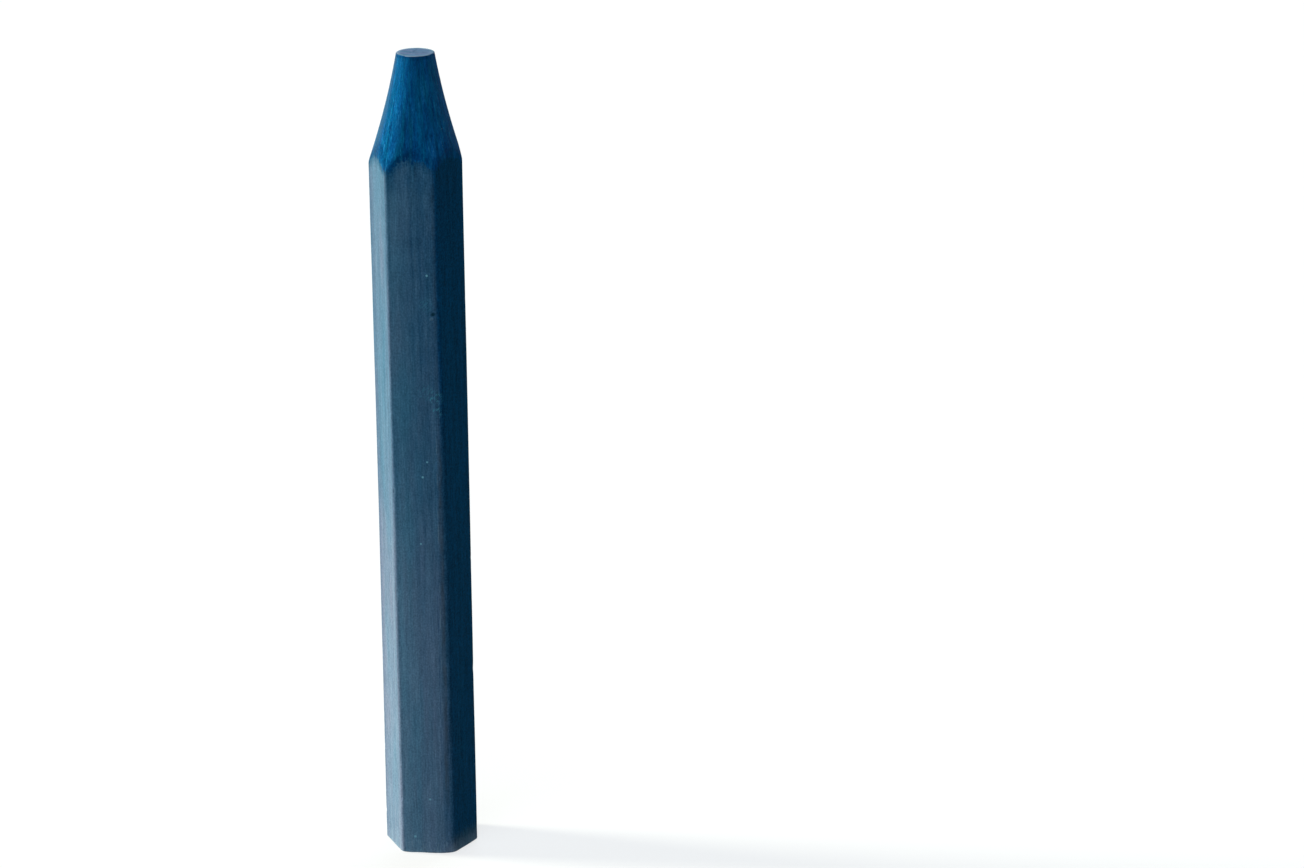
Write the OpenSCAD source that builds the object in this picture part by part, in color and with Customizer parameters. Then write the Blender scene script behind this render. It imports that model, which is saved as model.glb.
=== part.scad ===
// Hexagonal marking chalk stick with a hollow-ground point that is cut flat at its end.
// One solid piece: a six-sided bar, pressed to section, cut to length and pointed in a cutter.
// The origin is the centre of the square-cut base. +Z runs up the stick to the point,
// and two of the six flats face +Y and -Y. All sizes are in millimetres.

/* [Bar] */
// Distance across two opposite flats
across_flats = 12; // [8:0.5:20]
// Overall length, from the base to the flat tip
stick_length = 120; // [80:5:200]
// Radius of the six long corners
corner_radius = 0.5; // [0.2:0.1:1.2]

/* [Point] */
// Length of the point, from where it runs out on the corners to the flat tip
point_length = 15.5; // [10:0.5:30]
// Diameter of the flat tip
tip_diameter = 5.3; // [3:0.1:7]
// How far the hollow flank lies inside a straight cone at half its length
flank_hollow = 0.3; // [0:0.05:0.4]
// Width of the worn rim round the flat tip
tip_edge = 0.15; // [0.05:0.05:0.4]

/* [Base] */
// Width of the worn edge round the base
base_edge = 0.3; // [0.1:0.1:0.8]

/* [Hidden] */

side_count = 6;
side_angle = 360 / side_count;
half_side_angle = side_angle / 2;
flat_reach = across_flats / 2;

// The corner rounds are centred here, and reach this far from the axis.
corner_centre_reach = (flat_reach - corner_radius) / cos(half_side_angle);
corner_reach = corner_centre_reach + corner_radius;

tip_radius = tip_diameter / 2;

// The cutter's sweep runs on past the corners, so that it leaves no face on the bar.
sweep_overrun = 1.2;
sweep_reach = corner_reach * sweep_overrun;
flank_steps = 16;

corner_facets = 48;
sweep_facets = 120;

chalk_blue = [0.10, 0.25, 0.38];

// Centre of the round on one long corner; corner 0 points along +X.
function corner_centre(corner) =
    corner_centre_reach * [cos(corner * side_angle), sin(corner * side_angle)];

// Point where the round of a corner meets the flat before it (turn -1) or after it (turn 1).
function flat_end(corner, turn) =
    let (normal = corner * side_angle + turn * half_side_angle)
    corner_centre(corner) + corner_radius * [cos(normal), sin(normal)];

// Radius of the point's flank at a depth below the tip: a straight taper from the tip to the
// corners, less a parabola that is deepest, by flank_hollow, at half the point's length.
function flank_radius(depth) =
    let (along = depth / point_length)
    tip_radius + (corner_reach - tip_radius) * along - 4 * flank_hollow * along * (1 - along);

// Depths down the flank, from the worn rim of the tip to past the corners.
flank_depths = [
    for (step = [0 : flank_steps])
        tip_edge + (point_length * sweep_overrun - tip_edge) * step / flank_steps
];

// Cross-section of the bar: six flats joined by true rounds.
module bar_section() {
    polygon([
        for (corner = [0 : side_count - 1])
            for (turn = [-1, 1])
                flat_end(corner, turn)
    ]);
    for (corner = [0 : side_count - 1])
        translate(corner_centre(corner))
            circle(r = corner_radius, $fn = corner_facets);
}

// Everything that the cutter leaves: the flat tip, its worn rim, the hollow flank, and at the
// foot a cone that takes the worn edge off the base of each long corner.
module cutter_sweep() {
    rotate_extrude($fn = sweep_facets)
        polygon(concat(
            [[0, 0], [corner_reach - base_edge, 0], [sweep_reach, base_edge + sweep_reach - corner_reach]],
            [
                for (step = [flank_steps : -1 : 0])
                    [flank_radius(flank_depths[step]), stick_length - flank_depths[step]]
            ],
            [[tip_radius - tip_edge, stick_length], [0, stick_length]]
        ));
}

// Worn edge along the foot of each flat: a square bar laid on its corner along the base line.
module base_wear() {
    for (side = [0 : side_count - 1])
        rotate(side * side_angle)
            translate([0, flat_reach, 0])
                rotate([45, 0, 0])
                    cube([across_flats, base_edge * sqrt(2), base_edge * sqrt(2)], center = true);
}

module chalk_stick() {
    color(chalk_blue)
        difference() {
            intersection() {
                linear_extrude(height = stick_length)
                    bar_section();
                cutter_sweep();
            }
            base_wear();
        }
}

chalk_stick();
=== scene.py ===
"""A hexagonal marking chalk stick, standing on its base on a plain pale floor."""
import math

import bpy
import numpy as np
from mathutils import Matrix, Vector


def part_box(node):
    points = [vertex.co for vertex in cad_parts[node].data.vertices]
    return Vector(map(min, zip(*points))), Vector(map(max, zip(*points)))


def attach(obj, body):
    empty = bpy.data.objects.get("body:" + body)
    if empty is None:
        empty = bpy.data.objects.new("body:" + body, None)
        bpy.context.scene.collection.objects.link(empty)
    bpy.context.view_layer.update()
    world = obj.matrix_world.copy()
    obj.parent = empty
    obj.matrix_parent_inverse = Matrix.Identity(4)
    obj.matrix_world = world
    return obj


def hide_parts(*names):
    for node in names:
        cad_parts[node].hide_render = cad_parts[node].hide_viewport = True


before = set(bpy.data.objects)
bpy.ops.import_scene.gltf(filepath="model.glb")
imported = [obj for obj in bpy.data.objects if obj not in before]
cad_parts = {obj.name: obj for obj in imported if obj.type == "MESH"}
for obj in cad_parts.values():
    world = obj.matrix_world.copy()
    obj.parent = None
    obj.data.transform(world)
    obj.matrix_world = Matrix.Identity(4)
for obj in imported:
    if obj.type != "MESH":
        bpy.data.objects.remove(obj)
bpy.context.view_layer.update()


# ---------------------------------------------------------------------------------------------
# The chalk stick.
# One bar of chalk, dyed dark blue and pressed through a six-sided die, which leaves fine lines
# along its flats and a dusty skin. It is sawn to length, and a rotary cutter grinds the point:
# the cut breaks the skin back in six scallops and shows the brighter chalk beneath.

MM = 0.001
STICK_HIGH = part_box("chalk_stick")[1]
STICK_LENGTH = STICK_HIGH.z
FLAT_REACH = STICK_HIGH.y
CORNER_REACH = STICK_HIGH.x

# Corners and flats are counted round the bar from +X: corner k stands at k sixths of a turn, and
# flat k lies between corners k and k + 1. These are the ones at the front, seen from -Y.
SIDES = 6
HALF_SIDE = math.pi / SIDES
FRONT_FLAT, RIGHT_FLAT = 4, 5
FRONT_LEFT, FRONT_RIGHT = 4, 5
FRONT = math.radians(270)

# The bar runs a hair under its die size, so that its waviness never passes it.
UNDERSIZE = 0.01 * MM
CORNER_ROUND = 0.45 * MM
CORNER_WEAR = 0.22 * MM
WAIST = 0.12 * MM

# The right flat came out of the die turned, and more so lower down.
TURNED_AT_TOP = math.radians(2.0)
TURNED_MORE_BELOW = math.radians(3.4)

# Relief of the bar: long waves, ripples, die lines, and the crumbled foot.
WAVE_DEPTH = 0.03 * MM
RIPPLE_DEPTH = 0.015 * MM
DIE_LINE_DEPTH = 0.004 * MM
FOOT_DEPTH = 0.03 * MM

# The point, as the cutter leaves it. It stands a little off the axis towards +X.
TIP_RADIUS = 2.73 * MM
POINT_LENGTH = 15.5 * MM
SHOULDER_LOSS = 0.15 * MM
FLANK_HOLLOW = 0.3 * MM
LEAN_AT_TIP = 0.40 * MM
LEAN_AT_SHOULDER = 0.15 * MM
FLANK_LOSS = 0.015 * MM
CUTTER_DEPTH = 0.008 * MM
SHOULDER_BLEND = 0.06 * MM

# Rims: the least round of each, how much more it wears, and how far the base corners are knocked.
BASE_RIM, BASE_RIM_WEAR = 0.07 * MM, 0.13 * MM
TIP_RIM, TIP_RIM_WEAR = 0.04 * MM, 0.05 * MM
CORNER_KNOCK, FAR_LEFT_KNOCK = 0.13 * MM, 0.04 * MM
END_DISH = 0.03 * MM

# The one deep pit lies on the front flat, this far round from the flat's middle.
PIT_TURN = math.radians(27.2)
PIT_HEIGHT = 83.15 * MM

# The notch in the skin's edge: where it lies round the bar, its half width, and how far it
# breaks back, in millimetres of flank depth.
NOTCH_TURN = math.radians(249)
NOTCH_HALF_WIDTH = math.radians(5.0)
NOTCH_DEPTH = 0.25

# How finely the surface is divided: round a half side, and over each face at the ends.
CORNER_SPAN = math.radians(3.0)
CORNER_STEPS = 5
FLAT_STEPS = 15
END_RINGS = 7


def ease(x):
    """The eased step 3x^2 - 2x^3 of x held between 0 and 1."""
    x = np.clip(x, 0.0, 1.0)
    return x * x * (3.0 - 2.0 * x)


def bell(x, middle, half_width):
    """The bell curve exp(-((x - middle) / half_width)^2)."""
    return np.exp(-(((x - middle) / half_width) ** 2))


def fade(height, start, end):
    """0 at the start height and 1 at the end height, eased between them and held beyond. Start
    and end are in millimetres, and either may be the higher."""
    return ease((height / MM - start) / (end - start))


def drift(turn, climb, cells_round, cells_up, seed):
    """Smooth random relief from -1 to 1. A lattice of random heights is wrapped round the bar,
    cells_round wide and cells_up high, and read between its points with an eased blend."""
    lattice = np.random.default_rng(seed).uniform(-1.0, 1.0, (cells_up + 2, cells_round))
    across = turn * cells_round
    up = np.clip(climb, 0.0, 1.0) * cells_up
    col, row = np.floor(across).astype(int), np.floor(up).astype(int)
    right, above = ease(across - col), ease(up - row)
    here, there = col % cells_round, (col + 1) % cells_round
    low = lattice[row, here] * (1 - right) + lattice[row, there] * right
    high = lattice[row + 1, here] * (1 - right) + lattice[row + 1, there] * right
    return low * (1 - above) + high * above


def turns_of_the_bar():
    """Angles round the axis, from 0 to a full turn. Each half side holds CORNER_STEPS even steps
    within CORNER_SPAN of the corner and FLAT_STEPS even steps over the rest of the flat."""
    near = np.linspace(0.0, CORNER_SPAN, CORNER_STEPS + 1)[:-1]
    far = np.linspace(CORNER_SPAN, HALF_SIDE, FLAT_STEPS + 1)
    half = np.concatenate([near, far])
    side = np.concatenate([half, 2 * HALF_SIDE - half[-2:0:-1]])
    return (side[None, :] + np.arange(SIDES)[:, None] * 2 * HALF_SIDE).ravel()


def levels_of_the_bar():
    """Heights from base to tip, closest together round the two rims and at the shoulder, with a
    shrink factor for each that runs 0 to 1 over the base and 1 to 0 over the tip. Each stretch
    gives its low and high ends, in millimetres on a bar of 120, and its number of steps."""
    stretches = (
        (0.0, 1.0, 10),
        (1.0, 5.0, 13),
        (5.0, 102.5, 232),
        (102.5, 108.0, 56),
        (108.0, 119.6, 66),
        (119.6, 120.0, 7),
    )
    heights = np.concatenate([np.linspace(a, b, n + 1)[:-1] for a, b, n in stretches] + [[120.0]])
    heights = heights / heights[-1] * STICK_LENGTH
    rings = np.linspace(0.0, 1.0, END_RINGS + 2)[1:-1]
    heights = np.concatenate([np.zeros(END_RINGS), heights, np.full(END_RINGS, STICK_LENGTH)])
    shrink = np.ones(len(heights))
    shrink[:END_RINGS] = rings
    shrink[-END_RINGS:] = rings[::-1]
    return heights, shrink


def sides_of_the_bar(height):
    """Where each of the six flats lies at a height: the direction it faces and its distance from
    the axis. All are true to the die but the right one. Its near edge stands further out, most
    of all at the foot, so it is turned about the corner at the far right, from TURNED_AT_TOP by
    up to TURNED_MORE_BELOW between 104 and 44 mm up."""
    facing = [(2 * side + 1) * HALF_SIDE + 0 * height for side in range(SIDES)]
    reach = [FLAT_REACH - UNDERSIZE + 0 * height for side in range(SIDES)]
    more = TURNED_MORE_BELOW * fade(height, 104, 44)
    facing[RIGHT_FLAT] = facing[RIGHT_FLAT] + TURNED_AT_TOP + more
    hinge = (FLAT_REACH - 3 * UNDERSIZE) / math.cos(HALF_SIDE)
    reach[RIGHT_FLAT] = hinge * np.cos(facing[RIGHT_FLAT])
    return facing, reach


def corner_rounds(corner, height):
    """Radius of the worn round at a corner. Each corner has its own wear, which drifts up the
    stick. The front right one is rubbed blunter, most of all over its lower two thirds and round
    its foot, and the front left one is a little blunter towards the shoulder."""
    wear = 0.5 + 0.5 * drift(corner / SIDES + 0 * height, height / STICK_LENGTH, SIDES, 9, seed=11)
    blunt = 0 * height
    if corner == FRONT_RIGHT:
        rubbed = 0.45 + 0.15 * fade(height, 84, 62)
        blunt = (rubbed + 0.9 * bell(height, 0.0, 1.6 * MM)) * MM
    if corner == FRONT_LEFT:
        blunt = (0.06 + 0.14 * fade(height, 78, 102)) * MM
    return CORNER_ROUND + CORNER_WEAR * wear + blunt


def bar_reach(angle, height):
    """Distance from the axis to the six-sided section at an angle. On a flat it is the flat's own
    distance over the cosine of the angle from its facing. Each corner is an arc of radius r that
    touches both flats: its centre c lies where the flats moved in by r would meet, and a ray
    along u meets it at c.u + sqrt(r^2 - c.c + (c.u)^2)."""
    facing, distance = sides_of_the_bar(height)
    reach = np.full(np.broadcast(angle, height).shape, np.inf)
    for side in range(SIDES):
        off = np.cos(angle - facing[side])
        to_flat = np.where(off > 0.1, distance[side] / np.maximum(off, 0.1), np.inf)
        reach = np.minimum(reach, to_flat)
    for corner in range(SIDES):
        before, after = (corner - 1) % SIDES, corner
        radius = corner_rounds(corner, height)
        turn = np.sin(facing[after] - facing[before])
        first, second = distance[before] - radius, distance[after] - radius
        across = (first * np.sin(facing[after]) - second * np.sin(facing[before])) / turn
        up = (second * np.cos(facing[before]) - first * np.cos(facing[after])) / turn
        middle = np.arctan2(up, across)
        start, end = (
            np.arctan2(up + radius * np.sin(facing[side]), across + radius * np.cos(facing[side]))
            for side in (before, after))
        spread = [np.arctan2(np.sin(a - middle), np.cos(a - middle)) for a in (start, end, angle)]
        along = across * np.cos(angle) + up * np.sin(angle)
        under_root = radius**2 - across**2 - up**2 + along**2
        arc = along + np.sqrt(np.maximum(under_root, 0.0))
        reach = np.where((spread[2] > spread[0]) & (spread[2] < spread[1]), arc, reach)
    return reach


def pressed_bar(angle, height):
    """Reach of the bar with its relief, all of it cut in from the die size: a waist that is
    deepest half way up on the -X side, long waves, ripples, die lines, and a crumbled foot over
    the last 3.4 mm. The die lines never pass -1.6, so with 1.6 added they only cut in."""
    turn, climb = angle / (2 * math.pi), height / STICK_LENGTH
    waves = 0.5 + 0.5 * drift(turn, climb, 6, 5, seed=1)
    ripples = 0.5 + 0.5 * drift(turn, climb, 30, 14, seed=2)
    die_lines = 1.6 + drift(turn, climb, 96, 3, seed=3) + 0.6 * drift(turn, climb, 150, 7, seed=4)
    crumbled = fade(height, 3.4, 1.8) * np.abs(drift(turn, climb, 70, 60, seed=6))
    waist = WAIST * np.sin(math.pi * climb) * ease(-np.cos(angle))
    relief = WAVE_DEPTH * waves + RIPPLE_DEPTH * ripples + DIE_LINE_DEPTH * die_lines
    return bar_reach(angle, height) - waist - relief - FOOT_DEPTH * crumbled


def flank_radius(height):
    """Radius of the point's flank: a straight taper from the tip to a little inside the corners,
    less a parabola that is deepest, by FLANK_HOLLOW, at half the point's length."""
    along = (STICK_LENGTH - height) / POINT_LENGTH
    taper = TIP_RADIUS + (CORNER_REACH - SHOULDER_LOSS - TIP_RADIUS) * along
    return taper - 4 * FLANK_HOLLOW * along * (1 - along)


def ground_flank(angle, height):
    """Reach of the flank with its lean, which grows from the shoulder to the tip, and with the
    cutter's marks, which run up it and grow shallower as it narrows."""
    turn, climb = angle / (2 * math.pi), height / STICK_LENGTH
    radius = flank_radius(height)
    up_point = np.clip(1 - (STICK_LENGTH - height) / POINT_LENGTH, 0, 1)
    lean = LEAN_AT_SHOULDER + (LEAN_AT_TIP - LEAN_AT_SHOULDER) * up_point
    cutter = drift(turn, climb, 80, 20, seed=7) + 0.7 * drift(turn, climb, 120, 40, seed=8)
    marks = (FLANK_LOSS + CUTTER_DEPTH * cutter) * radius / CORNER_REACH
    return radius + lean * np.cos(angle) - marks


def rim_round(depth, radius):
    """How far a rim of radius r draws in at a depth d below its face: r - sqrt(r^2 - (r - d)^2)."""
    left = np.clip(radius - depth, 0.0, radius)
    return radius - np.sqrt(radius**2 - left**2)


def chips(angle, height, marks):
    """Depth of the small chips and pits, the sum over all marks of depth times a bell curve. Each
    mark gives its angle, height, half width round the bar, half length up it, and depth."""
    total = np.zeros(np.broadcast(angle, height).shape)
    for mark_angle, mark_height, half_width, half_length, depth in marks:
        round_off = ((angle - mark_angle + math.pi) % (2 * math.pi) - math.pi) * FLAT_REACH
        total += depth * bell(round_off, 0.0, half_width) * bell(height, mark_height, half_length)
    return total


def chip_marks():
    """The marks that show at the front, listed one by one, and a scatter of others: four chips on
    each corner and three shallow pits on each flat."""
    left, right = FRONT_LEFT * 2 * HALF_SIDE, FRONT_RIGHT * 2 * HALF_SIDE
    marks = [
        (FRONT + PIT_TURN, PIT_HEIGHT, 0.27 * MM, 0.31 * MM, 0.13 * MM),
        (left, 56.4 * MM, 0.20 * MM, 0.35 * MM, 0.10 * MM),
        (right, 54.2 * MM, 0.25 * MM, 0.30 * MM, 0.09 * MM),
        (right, 71.2 * MM, 0.30 * MM, 0.25 * MM, 0.06 * MM),
        (right, 69.3 * MM, 0.35 * MM, 0.30 * MM, 0.07 * MM),
        (right, 67.8 * MM, 0.25 * MM, 0.25 * MM, 0.05 * MM),
    ]
    rng = np.random.default_rng(5)
    for corner in range(SIDES):
        for _ in range(4):
            turned = 2 * HALF_SIDE * corner + rng.normal(0.0, 0.01)
            marks.append((turned, rng.uniform(4, 103) * MM, rng.uniform(0.15, 0.25) * MM,
                          rng.uniform(0.2, 0.6) * MM, rng.uniform(0.02, 0.07) * MM))
        for _ in range(3):
            turned = HALF_SIDE * (2 * corner + 1) + rng.uniform(-0.4, 0.4)
            size = rng.uniform(0.18, 0.28) * MM
            marks.append((turned, rng.uniform(6, 100) * MM, size, size,
                          rng.uniform(0.03, 0.07) * MM))
    return marks


def skin_edge(angle, height, outside):
    """How far inside the edge of the pressed skin a point lies, in millimetres of flank depth;
    below 0 the cutter has taken the skin. The edge sits where the flank stands outside the bar by
    a depth of its own at each corner and at the middle of each flat, blended as the cube of the
    distance from the middle, and is roughened by noise. Just right of the front left corner it
    is broken back in a notch."""
    at_corner = np.array([0.06, 0.04, 0.00, -0.05, -0.06, -0.03])
    at_middle = np.array([0.38, 0.32, 0.26, 0.33, 0.29, 0.41])
    off_middle = (angle % (2 * HALF_SIDE)) / HALF_SIDE - 1.0
    side = np.floor(angle / (2 * HALF_SIDE)).astype(int) % SIDES
    corner = (side + (off_middle > 0)) % SIDES
    depth = at_middle[side] + (at_corner[corner] - at_middle[side]) * np.abs(off_middle) ** 3
    depth = depth + NOTCH_DEPTH * bell(angle, NOTCH_TURN, NOTCH_HALF_WIDTH)
    turn, climb = angle / (2 * math.pi), height / STICK_LENGTH
    ragged = 0.06 * drift(turn, climb, 150, 80, seed=12)
    ragged = ragged + 0.05 * drift(turn, climb, 40, 40, seed=13)
    return outside / MM - depth - ragged


def dust_and_sheen_on_flat(side, angle, height):
    """Share of one flat that pale dust covers. Each flat has its own share at the top and at the
    foot, with an eased curve between them from 92 mm down to 12, and more on the last 2 mm above
    the floor. The left flat's high share is partly dust and partly painted sheen where the key
    light grazes it. The right flat, which lay against another stick, is bare, partly as painted
    shade from that stick. The front flat grows paler towards its left edge, though less so half
    way up, and has less dust just below the cut."""
    # The left flat's high shares are partly painted sheen, and the right flat's none is partly
    # painted shade.
    at_top = np.array([0.055, 0.065, 0.080, 0.232, 0.102, 0.000])
    at_foot = np.array([0.150, 0.160, 0.180, 0.334, 0.216, 0.002])
    at_floor = np.array([0.20, 0.08, 0.06, 0.05, 0.03, 0.42])
    lower = fade(height, 92, 12)
    share = at_top[side] * (1 - lower) + at_foot[side] * lower
    share = share + at_floor[side] * bell(height, 0.0, 1.55 * MM)

    leftward = (FRONT - angle) / HALF_SIDE
    more = 0.115 * np.clip(leftward, 0.0, 1.0) ** 0.7 + 0.02 * np.clip(leftward, -1.0, 0.0)
    more = more * (1 - 0.60 * bell(height, 63 * MM, 7 * MM))
    thinned = 0.30 + 0.35 * bell(angle, math.radians(246), 0.13)
    thinned = thinned * fade(height, 99.5, 103)
    in_front = side == FRONT_FLAT
    return (share + more * in_front) * (1 - thinned * in_front)


def dust_and_sheen_cover(angle, height):
    """Share of the skin that pale dust covers, with the painted sheen and shade that the flats'
    shares carry. The shares of neighbouring flats blend over their corner, and over 2 mm at the
    blunt one. Where the stick is held, half way up, and along the far left corner the dust is
    rubbed thinner."""
    place = angle / (2 * HALF_SIDE) - 0.5
    here = np.floor(place).astype(int)
    blunt = (here % SIDES == FRONT_FLAT) * (0.25 + 0.75 * fade(height, 80, 56))
    blend = ease((place - here - 0.5 - 0.03 * blunt) / (0.07 + 0.27 * blunt) + 0.5)
    share = dust_and_sheen_on_flat(here % SIDES, angle, height) * (1 - blend)
    share = share + dust_and_sheen_on_flat((here + 1) % SIDES, angle, height) * blend
    share = share * (1 - 0.11 * bell(height, 57 * MM, 8 * MM))
    return share * (1 - 0.20 * bell(angle, math.radians(186), 0.15))


def dust_and_sheen_grey(angle, height):
    """How grey the dust is, from 0 for blue dust to 1 for grey. The front flat is bluer towards its
    left edge, and the left flat greyer, partly as painted sheen where the key light grazes it.
    Both are greyer on the lower half, and so are narrow strips along the corners and a patch
    high on the left flat. Over the rest it drifts about."""
    turn, climb = angle / (2 * math.pi), height / STICK_LENGTH
    lower = fade(height, 64, 38)
    leftward = np.clip((FRONT - angle) / HALF_SIDE, -0.7, 0.7)
    front = 0.27 - 0.15 * leftward + 0.19 * lower
    # Painted sheen, in part: the left flat's dust is greyer where the key light grazes it.
    left = 0.50 + 0.34 * lower - 0.12 * fade(height, 32, 12)
    grey = np.where(angle < FRONT_LEFT * 2 * HALF_SIDE, left, front)
    for strength, at, half_width in ((0.25, 187, 0.15), (0.40, 240.5, 0.035), (0.15, 299, 0.06)):
        grey = grey + strength * bell(angle, math.radians(at), half_width)
    grey = grey + 0.32 * bell(angle, math.radians(222), 0.15) * bell(height, 92 * MM, 7 * MM)
    grey = grey + 0.16 * drift(turn, climb, 18, 12, seed=21)
    grey = grey + 0.10 * drift(turn, climb, 60, 24, seed=22)
    return np.clip(grey, 0.0, 1.0)


def stick_surface():
    """The whole skin as one grid of turns round the axis by levels up it. The reach is the smaller
    of the bar's and the flank's, eased where they cross, less the chips, and drawn in at both
    rims. Returns the points, and for the finish at each one: the skin's edge, chip depth, dust
    with painted sheen and shade, its greyness, gap from the nearest corner, and rim wear."""
    angle = turns_of_the_bar()[None, :]
    heights, shrink = levels_of_the_bar()
    height, shrink = heights[:, None], shrink[:, None]
    turn = angle / (2 * math.pi)
    bar, flank = pressed_bar(angle, height), ground_flank(angle, height)
    outside = flank - bar
    reach = np.minimum(bar, flank) - 0.25 * SHOULDER_BLEND * bell(outside, 0.0, SHOULDER_BLEND)
    marks = chips(angle, height, chip_marks()) * ease(outside / (0.3 * MM))
    reach = reach - marks

    rim_wear = 0.5 + 0.5 * drift(turn, 0 * turn, 26, 1, seed=9)
    off_corner = np.abs((angle + HALF_SIDE) % (2 * HALF_SIDE) - HALF_SIDE)
    knock = np.where(np.abs(angle - math.pi) < 0.5, FAR_LEFT_KNOCK, CORNER_KNOCK)
    base_rim = BASE_RIM + BASE_RIM_WEAR * rim_wear + knock * bell(off_corner, 0.0, 0.10)
    reach = reach - rim_round(height, base_rim)
    reach = reach - rim_round(STICK_LENGTH - height, TIP_RIM + TIP_RIM_WEAR * rim_wear[:, ::-1])

    radius = reach * shrink
    uneven = 1 + drift(turn, height / STICK_LENGTH, 24, 1, seed=10)
    dish = END_DISH * ease(2 * (1 - shrink)) * uneven
    lift = np.where(shrink < 1, np.where(height > STICK_LENGTH / 2, -dish, dish), 0.0)
    points = np.stack(np.broadcast_arrays(
        radius * np.cos(angle), radius * np.sin(angle), height + lift), axis=-1)

    from_rim = np.minimum(height, 2.0 * (STICK_LENGTH - height)) + (1 - shrink) * reach
    finish = {
        "skin_edge": skin_edge(angle, height, outside),
        "chip_depth": marks / MM,
        # The dust share also holds painted sheen on the left flat and painted shade on the right
        # flat, and its greyness painted sheen on the left.
        "dust": dust_and_sheen_cover(angle, height),
        "dust_and_sheen_grey": dust_and_sheen_grey(angle, height),
        "corner_gap": off_corner * FLAT_REACH / MM + 0 * height,
        "rim": bell(from_rim, 0.0, 0.35 * MM) + 0 * angle,
    }
    return points, finish


def closed_grid(points):
    """Faces for a grid that wraps round and closes on one point at each end. Row by row, each cell
    is a quad, and the first and last rows meet their pole in a fan of triangles."""
    rows, cols = points.shape[:2]
    index = np.arange(rows * cols).reshape(rows, cols)
    nxt = np.roll(index, -1, axis=1)
    quads = np.stack([index[:-1], nxt[:-1], nxt[1:], index[1:]], axis=-1).reshape(-1, 4)
    base_pole, tip_pole = rows * cols, rows * cols + 1
    base_fan = np.stack([np.full(cols, base_pole), nxt[0], index[0]], axis=-1)
    tip_fan = np.stack([np.full(cols, tip_pole), index[-1], nxt[-1]], axis=-1)
    poles = np.array([points[0].mean(axis=0), points[-1].mean(axis=0)])
    vertices = np.concatenate([points.reshape(-1, 3), poles])
    return vertices, quads.tolist() + base_fan.tolist() + tip_fan.tolist()


def build_stick():
    """The stick as one closed mesh, with each finish measure kept as an attribute of its points."""
    points, finish = stick_surface()
    vertices, faces = closed_grid(points)
    mesh = bpy.data.meshes.new("marking_chalk")
    mesh.from_pydata(vertices.tolist(), [], faces)
    for name, values in finish.items():
        values = np.append(values.ravel(), [values[0].mean(), values[-1].mean()])
        attribute = mesh.attributes.new(name, "FLOAT", "POINT")
        attribute.data.foreach_set("value", values.astype(np.float32))
    mesh.polygons.foreach_set("use_smooth", np.ones(len(faces), bool))
    mesh.validate()
    stick = bpy.data.objects.new("marking_chalk", mesh)
    bpy.context.scene.collection.objects.link(stick)
    return stick


class Nodes:
    """A short way to place and join shader nodes in one tree."""

    def __init__(self, tree):
        self.tree = tree
        self.column = 0

    def feed(self, node, inputs):
        """Gives a node's inputs, each as a value or as a socket to join it to."""
        for key, value in inputs.items():
            if isinstance(value, bpy.types.NodeSocket):
                self.tree.links.new(value, node.inputs[key])
            else:
                node.inputs[key].default_value = value

    def add(self, kind, inputs=None, **settings):
        """A node of a kind, with its settings and its inputs."""
        node = self.tree.nodes.new(kind)
        self.column += 1
        node.location = (self.column * 180, -(self.column % 5) * 160)
        for name, value in settings.items():
            setattr(node, name, value)
        self.feed(node, inputs or {})
        return node

    def math(self, operation, first, second=0.0, third=0.0, clamp=False):
        """The result of one sum on two or three numbers."""
        node = self.add("ShaderNodeMath", {0: first, 1: second, 2: third},
                        operation=operation, use_clamp=clamp)
        return node.outputs[0]

    def times(self, first, second):
        """The product of two numbers."""
        return self.math("MULTIPLY", first, second)

    def step(self, value, start, end, to_low=0.0, to_high=1.0):
        """Value taken from the span start to end onto the span to_low to to_high, eased."""
        node = self.add("ShaderNodeMapRange", {0: value, 1: start, 2: end, 3: to_low, 4: to_high},
                        interpolation_type="SMOOTHSTEP")
        return node.outputs[0]

    def vector(self, operation, first, second):
        """The sum, difference or product of two vectors."""
        node = self.add("ShaderNodeVectorMath", {0: first, 1: second}, operation=operation)
        return node.outputs[0]

    def scale(self, vector, factor):
        """A vector or a colour times a number."""
        node = self.add("ShaderNodeVectorMath", {0: vector, "Scale": factor}, operation="SCALE")
        return node.outputs[0]

    def mix(self, share, first, second):
        """Two colours mixed by a share from 0 to 1. The node takes colours at sockets 6 and 7."""
        first, second = [(*c, 1.0) if isinstance(c, tuple) else c for c in (first, second)]
        node = self.add("ShaderNodeMix", data_type="RGBA", clamp_factor=True)
        self.feed(node, {0: share, 6: first, 7: second})
        return node.outputs[2]

    def noise(self, place, scale, detail):
        """Even noise with so many grains to a metre. Gives a value and a colour."""
        given = {"Vector": place, "Scale": scale, "Detail": detail}
        return self.add("ShaderNodeTexNoise", given).outputs

    def attribute(self, name):
        """A number stored on the mesh's points."""
        return self.add("ShaderNodeAttribute", attribute_name=name).outputs["Fac"]

    def place(self):
        """The point's place on the stick, in metres."""
        return self.add("ShaderNodeTexCoord").outputs["Object"]

    def axes(self, place):
        """The x, y and z of a place."""
        return self.add("ShaderNodeSeparateXYZ", {0: place}).outputs


def new_group(name, inputs, output):
    """An empty node group with named inputs, vectors where the default is None."""
    group = bpy.data.node_groups.new(name, "ShaderNodeTree")
    for label, default in inputs:
        kind = "NodeSocketVector" if default is None else "NodeSocketFloat"
        socket = group.interface.new_socket(name=label, in_out="INPUT", socket_type=kind)
        if default is not None:
            socket.default_value = default
    kind = "NodeSocketVector" if output == "Place" else "NodeSocketFloat"
    group.interface.new_socket(name=output, in_out="OUTPUT", socket_type=kind)
    n = Nodes(group)
    return group, n, n.add("NodeGroupInput").outputs


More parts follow.
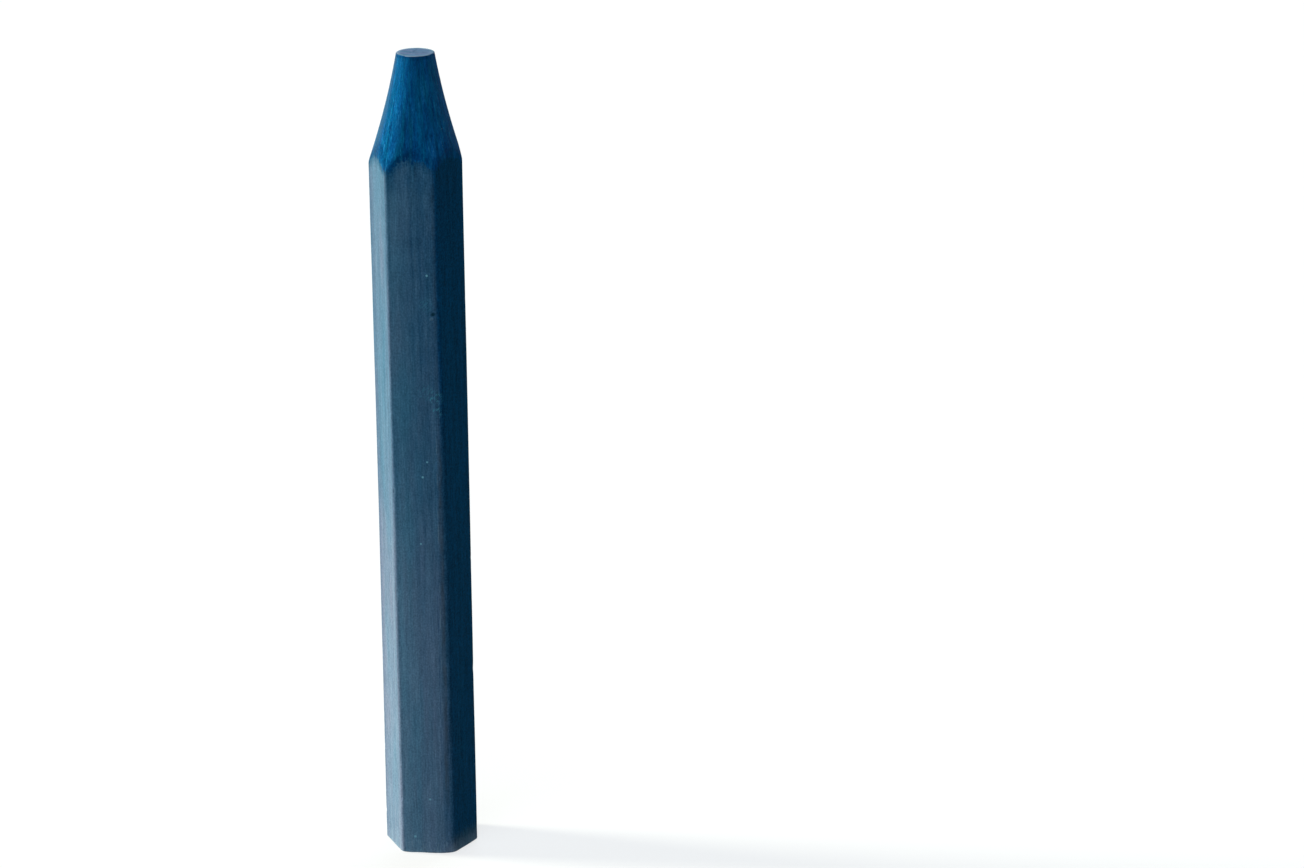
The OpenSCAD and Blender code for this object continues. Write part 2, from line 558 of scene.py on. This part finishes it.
def grain_group():
    """Random grain drawn out along the stick. Width and Length are the size of one grain in
    metres; Detail adds finer grain within it. Value runs from 0 to 1, about an even 0.5."""
    group, n, given = new_group("drawn_grain", (
        ("Place", None), ("Width", 0.0005), ("Length", 0.01), ("Detail", 2.0), ("Seed", 0.0)),
        "Value")
    across = n.math("DIVIDE", 1.0, given["Width"])
    along = n.math("DIVIDE", 1.0, given["Length"])
    per_grain = n.add("ShaderNodeCombineXYZ", {0: across, 1: across, 2: along}).outputs[0]
    drawn = n.vector("MULTIPLY", given["Place"], per_grain)
    noise = n.add("ShaderNodeTexNoise", {"Vector": drawn, "W": given["Seed"], "Scale": 1.0,
                                         "Detail": given["Detail"], "Roughness": 0.55},
                  noise_dimensions="4D").outputs[0]
    n.add("NodeGroupOutput", {0: n.step(noise, 0.28, 0.72)})
    return group


# The even ring onto which the point's places are spread, so that its fibres fan out downwards.
EVEN_RING = 6.3 * MM


def round_place_group():
    """Place on the stick with its distance from the axis set to EVEN_RING, so that grain drawn
    from it runs in towards the tip with the flank. A slow wander of Wander metres bends it."""
    group, n, given = new_group("round_place", (("Wander", 0.0002),), "Place")
    place = n.place()
    level = n.vector("MULTIPLY", place, (1, 1, 0))
    outward = n.add("ShaderNodeVectorMath", {0: level}, operation="NORMALIZE").outputs[0]
    even = n.vector("ADD", n.scale(outward, EVEN_RING), n.vector("MULTIPLY", place, (0, 0, 1)))
    _, noise = n.noise(place, 350.0, 1.0)
    bend = n.scale(n.vector("SUBTRACT", noise, (0.5, 0.5, 0.5)), given["Wander"])
    n.add("NodeGroupOutput", {0: n.vector("ADD", even, bend)})
    return group


def speck_group():
    """Small round specks, scattered at random. Spacing is the mean distance between the places
    where one may lie, Size its radius, both in metres, and Share how many places have one."""
    group, n, given = new_group("specks", (
        ("Spacing", 0.003), ("Size", 0.00012), ("Share", 0.4)), "Mask")
    per_metre = n.math("DIVIDE", 1.0, given["Spacing"])
    cells = n.add("ShaderNodeTexVoronoi", {"Vector": n.place(), "Scale": per_metre}).outputs
    picked = n.add("ShaderNodeSeparateColor", {0: cells["Color"]}).outputs
    size = n.times(n.times(given["Size"], per_metre), n.math("ADD", 0.5, picked[1]))
    inside = n.math("SUBTRACT", 1.0, n.math("DIVIDE", cells["Distance"], size), clamp=True)
    chosen = n.math("LESS_THAN", picked[0], given["Share"])
    n.add("NodeGroupOutput", {0: n.times(n.step(inside, 0.0, 0.5), chosen)})
    return group


DRAWN_GRAIN = grain_group()
ROUND_PLACE = round_place_group()
SPECKS = speck_group()

# Colours of the chalk, as linear light: the pressed skin, its dust, and the cut and sawn chalk.
SKIN_TEAL = (0.0004, 0.054, 0.116)
SKIN_SLATE = (0.0012, 0.043, 0.105)
SKIN_BARE = (0.0002, 0.039, 0.114)
DUST = (0.42, 0.58, 0.62)
# Blue and grey dust; on the left flat their heavy share is partly painted sheen.
DUST_BLUE = (0.24, 0.59, 0.75)
DUST_AND_SHEEN_GREY = (0.60, 0.56, 0.69)
CUT_DEEP = (0.0003, 0.024, 0.088)
CUT_BLUE = (0.0030, 0.110, 0.330)
CUT_TEAL = (0.0010, 0.122, 0.252)
CUT_PALE = (0.0350, 0.190, 0.350)
# A dull grey that stands in for sheen on the far left of the point: painted sheen.
CUT_PAINTED_SHEEN = (0.0380, 0.094, 0.162)
SAWN = (0.093, 0.133, 0.234)
SAWN_MAUVE = (0.131, 0.139, 0.257)

# Colours of the marks on the flats.
SCUFF = (0.06, 0.30, 0.38)
LINT = (0.22, 0.52, 0.62)
PIT_SHADE = (0.004, 0.028, 0.050)
# Grimy dark along the blunt corner, partly painted shade.
GRIME_AND_SHADE = (0.043, 0.040, 0.031)

# Tint of the bloom that dust gives each finish at a glancing view.
SKIN_BLOOM = (0.05, 0.70, 1.0)
CUT_BLOOM = (0.50, 0.51, 0.56)
SAWN_BLOOM = (0.12, 0.72, 1.0)

# Grain of the skin: width and length of one grain in millimetres, its detail and its seed.
SKIN_BANDS = (1.8, 60, 2.0, 1)
SKIN_DRAWN = (0.85, 24, 2.0, 18)
SKIN_STREAKS = (0.30, 8, 3.0, 2)
SKIN_HAIRS = (0.16, 2.2, 2.0, 3)
SKIN_BLOTCHES = (1.4, 2.5, 4.0, 4)
SKIN_MOTTLE = (0.26, 0.30, 3.0, 14)
SKIN_TOOTH = (0.10, 0.14, 2.0, 8)
EDGE_HATCH = (0.20, 0.7, 3.0, 16)
EDGE_CRUMBS = (0.40, 0.40, 3.0, 17)
RIM_WEAR = (0.4, 0.4, 2.0, 10)
FOOT_DRAGS = (0.2, 1.1, 2.0, 11)
SCUFF_STROKES = (0.16, 0.6, 2.0, 19)
LINE_BREAKS = (0.5, 3, 2.0, 20)

# Grain of the cut chalk, in the same order.
CUT_FINE = (0.23, 1.3, 3.0, 5)
CUT_BROAD = (0.8, 4.5, 3.0, 6)
CUT_NAP = (0.23, 0.34, 2.0, 15)
CUT_HUES = (0.7, 7, 2.0, 21)
CUT_TOOTH = (0.09, 0.2, 2.0, 8)
TIP_TEARS = (1.2, 0.3, 2.0, 10)

# How far the skin's edge frays, in millimetres of flank depth.
FRAY = 0.22

# How the scuff's strokes slant on the front flat, and how the saw lines cross the ends.
SCUFF_SLANT = math.radians(-35)
SAW_SLANT = math.radians(25)

# Depth of the finest relief, which is only in the finish.
BUMP_DEPTH = 0.05 * MM

# The pit's distance from the front flat's middle and from the base, in millimetres.
PIT_ACROSS = FLAT_REACH * math.tan(PIT_TURN) / MM
PIT_UP = PIT_HEIGHT / MM


def grain(n, place, width, length, detail, seed):
    """One placing of the drawn grain, its sizes in millimetres."""
    node = n.add("ShaderNodeGroup", {"Place": place, "Width": width * MM, "Length": length * MM,
                                     "Detail": detail, "Seed": seed}, node_tree=DRAWN_GRAIN)
    return node.outputs[0]


def fanned_place(n):
    """One placing of the evened place, its wander 0.12 mm."""
    return n.add("ShaderNodeGroup", {"Wander": 0.12 * MM}, node_tree=ROUND_PLACE).outputs[0]


def specks(n, spacing, size, share):
    """One scatter of specks, its sizes in millimetres."""
    return n.add("ShaderNodeGroup", {"Spacing": spacing * MM, "Size": size * MM, "Share": share},
                 node_tree=SPECKS).outputs[0]


def spot(n, place, across, up, size):
    """One round spot on the front flat, from the flat's middle and the base, in millimetres."""
    centre = (across * MM, -FLAT_REACH, up * MM)
    gap = n.add("ShaderNodeVectorMath", {0: place, 1: centre}, operation="DISTANCE").outputs
    return n.step(gap["Value"], size * MM, 0.5 * size * MM)


def band(n, value, start, full, waning, end):
    """1 where a value lies between full and waning, eased to 0 at start and end. In millimetres."""
    return n.times(n.step(value, start * MM, full * MM), n.step(value, end * MM, waning * MM))


def fine_line(n, place, across, low, high, width):
    """A fine line drawn along the front flat, at a distance from the flat's middle, from a low
    height to a high one, fading over 6 mm at each end. All in millimetres."""
    x, y, z = n.axes(place)
    off_line = n.math("ABSOLUTE", n.math("SUBTRACT", x, across * MM))
    line = n.times(n.step(off_line, width * MM, 0.2 * width * MM),
                   n.math("LESS_THAN", y, -0.8 * FLAT_REACH))
    return n.times(line, band(n, z, low, low + 6, high - 6, high))


def painted_cut_light(n, x, z):
    """Painted light and shade on the cut, as a factor on its colour, by x on the even ring and by
    height: a painted lit stripe at the left, stronger near the tip; painted light over the far
    right; and on the lower half of the point a painted shade stretch at the middle and a painted
    lit one beside it."""
    # Painted light: a lit stripe at the left, where the key light falls on the point.
    streak = n.times(band(n, x, -4.6, -3.6, -2.6, -1.6),
                     n.step(z, 110.5 * MM, 113.5 * MM, 0.08, 0.17))
    # Painted light over the far right of the point.
    light = n.math("ADD", streak, n.step(x, 2.8 * MM, 5.6 * MM, 1.0, 1.27))
    # Painted shade at the middle of the lower point, and painted light beside it.
    patch = n.math("MULTIPLY_ADD", band(n, x, -2.8, -2.1, 0.4, 1.2), -0.24,
                   n.times(band(n, x, 0.9, 1.7, 2.4, 3.3), 0.33))
    return n.math("MULTIPLY_ADD", patch, n.step(z, 114.0 * MM, 111.0 * MM), light)


def cut_colour(n, round_place):
    """Cut chalk: bright and deep fibres that run up the flank, fine ones over broad ones, with a
    short nap and a few pale fibre ends. The fibres stand out more towards the left, as painted
    light raking across them, and the far left is dulled to grey as a painted sheen. Where the cut
    meets the skin it is darker, most of all between the fibres. Over it all lies painted light
    and shade. Returns the colour and the fibres' relief."""
    broad, fine = grain(n, round_place, *CUT_BROAD), grain(n, round_place, *CUT_FINE)
    fibres = n.math("MULTIPLY_ADD", fine, 0.38, n.times(broad, 0.34))
    fibres = n.math("MULTIPLY_ADD", grain(n, round_place, *CUT_NAP), 0.28, fibres)
    x, _, z = n.axes(round_place)
    # Painted light: the fibres' contrast grows towards the left, where the key light rakes them.
    painted_raking_contrast = n.step(x, -0.5 * MM, -5.0 * MM, 1.25, 1.6)
    brightness = n.math("MULTIPLY_ADD", n.math("SUBTRACT", fibres, 0.5), painted_raking_contrast, 0.5, clamp=True)
    bright = n.mix(grain(n, round_place, *CUT_HUES), CUT_BLUE, CUT_TEAL)
    colour = n.mix(brightness, CUT_DEEP, bright)
    colour = n.mix(n.step(fibres, 0.62, 0.92, 0.0, 0.4), colour, CUT_PALE)
    # Painted sheen: the far left of the point, seen at a glance under the key light, is dulled to
    # grey.
    colour = n.mix(n.step(x, -4.4 * MM, -5.9 * MM, 0.0, 0.58), colour, CUT_PAINTED_SHEEN)
    near_skin = n.step(n.attribute("skin_edge"), -0.9, -0.1, 0.0, 0.66)
    colour = n.mix(n.times(near_skin, n.step(fibres, 0.70, 0.35, 0.48, 1.0)), colour, CUT_DEEP)
    # The cut's colour is scaled by painted light and shade.
    return n.scale(colour, painted_cut_light(n, x, z)), n.math("MULTIPLY_ADD", broad, 0.8, fine)


def skin_colour(n, place, dust):
    """Pressed skin: teal and slate bands, bluer where bare, under dust that lies in streaks and
    drifts, more evenly where it is thick, with a mottled grain in it. The bare blue of the right
    flat is partly painted shade, and the heavy dust of the left flat partly painted sheen. The
    grain also lightens and darkens the skin. Returns the colour, and the streaks and hairs for
    the relief."""
    drawn, streaks = grain(n, place, *SKIN_DRAWN), grain(n, place, *SKIN_STREAKS)
    hairs, mottle = grain(n, place, *SKIN_HAIRS), grain(n, place, *SKIN_MOTTLE)
    colour = n.mix(grain(n, place, *SKIN_BANDS), SKIN_TEAL, SKIN_SLATE)
    # Bluer where bare; on the right flat this is partly painted shade.
    colour = n.mix(n.step(dust, 0.0, 0.05, 0.65, 0.0), colour, SKIN_BARE)

    uneven = n.math("MULTIPLY_ADD", streaks, 0.30, -0.50)
    uneven = n.math("MULTIPLY_ADD", grain(n, place, *SKIN_BLOTCHES), 0.35, uneven)
    uneven = n.math("MULTIPLY_ADD", drawn, 0.35, uneven)
    cover = n.math("MULTIPLY_ADD", uneven, n.step(dust, 0.05, 0.20, 1.0, 0.35), 0.80)
    grainy = n.math("MULTIPLY_ADD", hairs, 0.42, n.math("MULTIPLY_ADD", mottle, 0.58, -0.5))
    loose = n.times(grainy, n.step(dust, 0.0, 0.03, 0.0, 0.034))
    share = n.math("MULTIPLY_ADD", dust, cover, loose, clamp=True)
    colour = n.mix(share, colour, n.mix(n.attribute("dust_and_sheen_grey"), DUST_BLUE, DUST_AND_SHEEN_GREY))

    strength = n.math("ADD", n.step(dust, 0.0, 0.03, 0.40, 0.0),
                      n.step(dust, 0.0, 0.14, 0.92, 0.48))
    light = n.math("MULTIPLY_ADD", grainy, strength, n.step(dust, 0.0, 0.05, 0.88, 0.90))
    light = n.math("MULTIPLY_ADD", drawn, n.step(dust, 0.0, 0.12, 0.34, 0.10), light)
    return n.scale(colour, light), streaks, hairs


def worn_foot(n, place, foot, colour):
    """Dust on the worn rim of the base, and dragged up the foot in short streaks."""
    worn = n.times(n.attribute("rim"), grain(n, place, *RIM_WEAR))
    colour = n.mix(n.times(worn, 0.20), colour, DUST)
    drags = n.times(foot, n.step(grain(n, place, *FOOT_DRAGS), 0.55, 0.95))
    return n.mix(n.times(drags, 0.10), colour, DUST)


def scuffed(n, place, colour):
    """Slanting strokes where the front flat was scuffed, in four round patches towards the blunt
    corner. Each gives its place across and up, its size in millimetres, and its strength."""
    slanted = n.add("ShaderNodeMapping", {"Vector": place, "Rotation": (0, SCUFF_SLANT, 0)})
    strokes = n.step(grain(n, slanted.outputs[0], *SCUFF_STROKES), 0.5, 0.85)
    patches = n.math("ADD", spot(n, place, 3.3, 70.6, 1.3),
                     spot(n, place, 3.4, 68.6, 1.0), clamp=True)
    for across, up, size, strength in ((1.9, 71.6, 1.8, 0.4), (2.2, 84.5, 1.3, 0.5)):
        patches = n.math("MULTIPLY_ADD", spot(n, place, across, up, size), strength, patches)
    return n.mix(n.times(n.times(patches, strokes), 0.42), colour, SCUFF)


def lined(n, place, colour):
    """Broken lines along the front flat beside the blunt corner: a pale line that is a painted
    highlight on the corner's round, a broad grimy dark stripe right at the corner, fainter
    above, that is partly painted shade where the round turns from the light, and a dark scratch."""
    broken_up = n.step(grain(n, place, *LINE_BREAKS), 0.3, 0.7)
    # Painted highlight: a pale line on the blunt corner's round.
    painted_highlight_line = n.times(fine_line(n, place, across=3.1, low=20, high=68, width=0.09), broken_up)
    colour = n.mix(n.times(painted_highlight_line, 0.12), colour, DUST)
    # Grimy dark stripes at the corner, partly painted shade where the round turns from the light.
    upper_grime_and_shade = fine_line(n, place, across=3.38, low=61, high=106, width=0.42)
    lower_grime_and_shade = fine_line(n, place, across=3.50, low=6, high=66, width=0.50)
    grime_and_shade = n.math("MULTIPLY_ADD", upper_grime_and_shade, 0.45, lower_grime_and_shade)
    grime_and_shade = n.times(grime_and_shade, n.math("MULTIPLY_ADD", broken_up, 0.4, 0.6))
    colour = n.mix(n.times(grime_and_shade, 0.36), colour, GRIME_AND_SHADE)
    dark_line = n.times(fine_line(n, place, across=2.75, low=9, high=46, width=0.08), broken_up)
    return n.mix(n.times(dark_line, 0.5), colour, CUT_DEEP)


def linted(n, place, foot, colour):
    """Pale lint all over, grit at the foot, and six larger specks on the front flat, each given by
    its place across and up and its size in millimetres."""
    pale = n.math("ADD", n.times(specks(n, spacing=3.4, size=0.075, share=0.25), 0.30),
                  n.times(specks(n, spacing=0.9, size=0.07, share=0.3), n.times(foot, 0.30)))
    for across, up, size in ((2.3, 88.9, 0.23), (1.0, 58.7, 0.22), (1.7, 61.0, 0.18),
                             (0.5, 48.5, 0.18), (0.9, 8.6, 0.20), (-1.45, 2.6, 0.24)):
        pale = n.math("MULTIPLY_ADD", spot(n, place, across, up, size), 0.50, pale)
    return n.mix(pale, colour, LINT)


def pitted(n, place, pit, colour):
    """Shade in the chips and in the pit, with pale crumbs in the pit and just below it."""
    broken = n.math("MULTIPLY_ADD", pit, 0.6, n.step(n.attribute("chip_depth"), 0.02, 0.1))
    colour = n.mix(n.times(broken, 0.66), colour, PIT_SHADE)
    crumbs = n.math("ADD", spot(n, place, PIT_ACROSS, PIT_UP, 0.12),
                    spot(n, place, PIT_ACROSS - 0.25, PIT_UP - 0.65, 0.34), clamp=True)
    return n.mix(n.times(crumbs, 0.07), colour, DUST)


def finish_shader(n, colour, roughness, relief, strength, gloss, bloom, tint):
    """The shader that all the chalk shares: dull, with a bloom of dust that brightens it at a
    glancing view. Gloss, bloom and its tint are even over each finish."""
    bump = n.add("ShaderNodeBump", {"Height": relief, "Strength": strength, "Distance": BUMP_DEPTH})
    chalk = n.add("ShaderNodeBsdfPrincipled", {
        "Base Color": colour, "Roughness": roughness, "Normal": bump.outputs[0],
        "Specular IOR Level": gloss, "Sheen Weight": bloom, "Sheen Roughness": 0.35,
        "Sheen Tint": (*tint, 1.0)})
    n.add("ShaderNodeOutputMaterial", {0: chalk.outputs[0]})


def new_material(name):
    """An empty material and its nodes."""
    material = bpy.data.materials.new(name)
    material.use_nodes = True
    material.node_tree.nodes.clear()
    return material, Nodes(material.node_tree)


def pressed_skin():
    """The finish of the flats. Its edge is frayed into cut chalk along fine hatching. Dust thins
    out just below the cut and on the corners. Over it lie the marks of wear: the dusty foot,
    scuffs, lines, lint, chips and the pit, with a painted highlight and painted shade in the
    lines by the blunt corner and painted shade in the chips and the pit."""
    material, n = new_material("chalk_pressed_skin")
    place, round_place = n.place(), fanned_place(n)
    hatch = n.math("MULTIPLY_ADD", grain(n, round_place, *EDGE_HATCH), 0.6,
                   n.math("MULTIPLY_ADD", grain(n, place, *EDGE_CRUMBS), 0.4, -0.5))
    edge = n.math("MULTIPLY_ADD", hatch, 2.0 * FRAY, n.attribute("skin_edge"))
    dust = n.times(n.attribute("dust"), n.step(edge, 0.0, 0.5, 0.38, 1.0))
    dust = n.times(dust, n.step(n.attribute("corner_gap"), 0.1, 0.8, 0.80, 1.0))
    skin, streaks, hairs = skin_colour(n, place, dust)
    cut, _ = cut_colour(n, round_place)
    colour = n.mix(n.step(edge, 0.03, -0.03), skin, cut)

    foot = n.step(n.axes(place)[2], 4.0 * MM, 1.0 * MM)
    pit = spot(n, place, PIT_ACROSS, PIT_UP, 0.40)
    colour = worn_foot(n, place, foot, colour)
    colour = scuffed(n, place, colour)
    colour = lined(n, place, colour)
    colour = linted(n, place, foot, colour)
    colour = pitted(n, place, pit, colour)

    roughness = n.math("MULTIPLY_ADD", streaks, -0.10, 0.62)
    relief = n.math("MULTIPLY_ADD", hairs, 0.25, n.times(pit, -1.5))
    relief = n.math("MULTIPLY_ADD", grain(n, place, *SKIN_TOOTH), 0.35, relief)
    finish_shader(n, colour, roughness, relief,
                  strength=0.35, gloss=0.01, bloom=0.25, tint=SKIN_BLOOM)
    return material


def cut_chalk():
    """The finish of the point: matt cut chalk with fibres and a few pale specks, torn dark in
    places just under the tip."""
    material, n = new_material("chalk_cut")
    place = n.place()
    colour, fibres = cut_colour(n, fanned_place(n))
    colour = n.mix(n.times(specks(n, spacing=2.2, size=0.07, share=0.3), 0.30), colour, DUST)
    torn = n.times(n.step(n.axes(place)[2], 119.35 * MM, 119.60 * MM), grain(n, place, *TIP_TEARS))
    colour = n.mix(n.times(torn, 0.6), colour, CUT_DEEP)
    relief = n.math("ADD", fibres, n.times(grain(n, place, *CUT_TOOTH), 0.4))
    roughness = n.math("MULTIPLY_ADD", fibres, 0.08, 0.86)
    finish_shader(n, colour, roughness, relief, strength=1.0, gloss=0.0, bloom=0.18, tint=CUT_BLOOM)
    return material


def sawn_ends():
    """The finish of the sawn tip and base: paler, dry, dusty chalk in blue and mauve patches, with
    faint saw lines that cross it at 25 degrees, and dust on its worn rim that is also a painted
    highlight along the tip's rim."""
    material, n = new_material("chalk_sawn")
    place = n.place()
    turned = n.add("ShaderNodeMapping", {
        "Vector": place, "Rotation": (0, 0, SAW_SLANT), "Scale": (700, 4500, 700)}).outputs[0]
    saw, mottle = n.noise(turned, 1.0, 2.0)[0], n.noise(place, 900.0, 4.0)[0]
    patches = n.noise(turned, 0.45, 1.0)[0]
    relief = n.math("ADD", saw, mottle)
    colour = n.mix(n.step(patches, 0.42, 0.60), SAWN, SAWN_MAUVE)
    colour = n.scale(colour, n.step(relief, 0.7, 1.3, 0.84, 1.16))
    # Dust on the worn rim, partly a painted highlight along the tip's rim.
    colour = n.mix(n.times(n.attribute("rim"), 0.26), colour, DUST)
    finish_shader(n, colour, 0.9, relief, strength=0.3, gloss=0.0, bloom=0.10, tint=SAWN_BLOOM)
    return material


def assign_finishes(stick):
    """Faces that point straight up or down are sawn. Of the others, those whose corners lie on
    average inside the furthest that the skin's edge frays to are pressed skin, the rest cut."""
    mesh = stick.data
    for material in (pressed_skin(), cut_chalk(), sawn_ends()):
        mesh.materials.append(material)
    normals = np.zeros(len(mesh.polygons) * 3)
    mesh.polygons.foreach_get("normal", normals)
    edge = np.zeros(len(mesh.vertices))
    mesh.attributes["skin_edge"].data.foreach_get("value", edge)
    corners = np.zeros(len(mesh.loops), np.int32)
    mesh.loops.foreach_get("vertex_index", corners)
    starts = np.zeros(len(mesh.polygons), np.int32)
    mesh.polygons.foreach_get("loop_start", starts)
    counts = np.diff(np.append(starts, len(corners)))
    mean_edge = np.add.reduceat(edge[corners], starts) / counts
    finish = np.where(mean_edge > -FRAY, 0, 1)
    finish = np.where(np.abs(normals.reshape(-1, 3)[:, 2]) > 0.8, 2, finish)
    mesh.polygons.foreach_set("material_index", finish.astype(np.int32))


stick = build_stick()
assign_finishes(stick)
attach(stick, "root")
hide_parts("chalk_stick")


# ---------------------------------------------------------------------------------------------
# The floor.
# A plain white sheet, wide enough to fill the view. It keeps the stick's soft shadow.

FLOOR_HALF = 3.0
FLOOR_PAINT = 0.28
FLOOR_GLOW = 0.72


def seen_plainly(n):
    """1 where a surface is seen directly, in gloss or through glass, and 0 where it only lights
    other things."""
    path = n.add("ShaderNodeLightPath").outputs
    return n.math("MAXIMUM", path["Is Camera Ray"],
                  n.math("MAXIMUM", path["Is Glossy Ray"], path["Is Transmission Ray"]))


def lay_floor():
    """A flat square at the height of the base. Seen plainly it has a little light of its own,
    which lifts it to white."""
    corners = [(-FLOOR_HALF, -FLOOR_HALF, 0), (FLOOR_HALF, -FLOOR_HALF, 0),
               (FLOOR_HALF, FLOOR_HALF, 0), (-FLOOR_HALF, FLOOR_HALF, 0)]
    mesh = bpy.data.meshes.new("floor")
    mesh.from_pydata(corners, [], [(0, 1, 2, 3)])
    floor = bpy.data.objects.new("floor", mesh)
    bpy.context.scene.collection.objects.link(floor)
    material, n = new_material("floor_white")
    sheet = n.add("ShaderNodeBsdfDiffuse", {0: (FLOOR_PAINT, FLOOR_PAINT, FLOOR_PAINT, 1)})
    glow = n.add("ShaderNodeEmission", {0: (1, 1, 1, 1), 1: n.times(seen_plainly(n), FLOOR_GLOW)})
    both = n.add("ShaderNodeAddShader", {0: sheet.outputs[0], 1: glow.outputs[0]})
    n.add("ShaderNodeOutputMaterial", {0: both.outputs[0]})
    mesh.materials.append(material)


lay_floor()


# ---------------------------------------------------------------------------------------------
# The light.
# A large soft lamp low on the left, a little behind the stick, rakes the left flat. Soft fill
# from the front left and from behind keeps the other sides readable.

AMBIENT = 0.06
DAYLIGHT = (1.0, 0.99, 0.81)
SKYLIGHT = (0.74, 0.89, 1.0)


def hang_lamp(name, bearing, elevation, strength, softness, tint):
    """A distant soft lamp. Bearing is the compass angle that it shines from, counted from +X
    towards +Y; softness is the angle that it spans; both and the elevation are in degrees. Tint
    is the colour of its light."""
    lamp = bpy.data.lights.new(name, "SUN")
    lamp.energy = strength
    lamp.color = tint
    lamp.angle = math.radians(softness)
    holder = bpy.data.objects.new(name, lamp)
    turn, lift = math.radians(bearing), math.radians(elevation)
    level = math.cos(lift)
    towards = Vector((math.cos(turn) * level, math.sin(turn) * level, math.sin(lift)))
    holder.rotation_mode = "QUATERNION"
    holder.rotation_quaternion = towards.to_track_quat("Z", "Y")
    bpy.context.scene.collection.objects.link(holder)


def light_the_room():
    """An even world of low strength, white where it is seen plainly."""
    world = bpy.data.worlds.new("room")
    world.use_nodes = True
    world.node_tree.nodes.clear()
    n = Nodes(world.node_tree)
    strength = n.math("ADD", AMBIENT, n.times(seen_plainly(n), 1.0 - AMBIENT))
    backdrop = n.add("ShaderNodeBackground", {0: (1, 1, 1, 1), 1: strength})
    n.add("ShaderNodeOutputWorld", {0: backdrop.outputs[0]})
    bpy.context.scene.world = world


light_the_room()
hang_lamp("key_left", bearing=175, elevation=15, strength=7.0, softness=14, tint=DAYLIGHT)
hang_lamp("fill_front", bearing=250, elevation=25, strength=1.9, softness=60, tint=SKYLIGHT)
hang_lamp("back_right", bearing=80, elevation=30, strength=2.1, softness=60, tint=SKYLIGHT)


# ---------------------------------------------------------------------------------------------
# The camera.
# A long lens at table height, looking down a little. The stick stands left of the middle.

VIEW_TURN = math.radians(6.98)
VIEW_TILT = math.radians(17.85)
VIEW_ROLL = math.radians(0.50)
VIEW_DISTANCE = 655.1 * MM
VIEW_MIDDLE = 33.38 * MM
VIEW_HEIGHT = 63.0 * MM
LENS = 124.6


def set_camera():
    """The camera aims at a point VIEW_MIDDLE to the right of the stick and VIEW_HEIGHT up."""
    camera = bpy.data.cameras.new("camera")
    camera.lens = LENS
    camera.sensor_width = 36.0
    camera.clip_start, camera.clip_end = 0.01, 20.0
    holder = bpy.data.objects.new("camera", camera)
    turn = Matrix.Rotation(VIEW_TURN, 4, "Z")
    aim = turn @ Vector((VIEW_MIDDLE, 0.0, VIEW_HEIGHT))
    tilt = Matrix.Rotation(math.pi / 2 - VIEW_TILT, 4, "X")
    pose = turn @ tilt @ Matrix.Rotation(-VIEW_ROLL, 4, "Z")
    holder.matrix_world = Matrix.Translation(aim) @ pose @ Matrix.Translation((0, 0, VIEW_DISTANCE))
    bpy.context.scene.collection.objects.link(holder)
    bpy.context.scene.camera = holder


set_camera()
bpy.context.scene.view_settings.view_transform = "Standard"
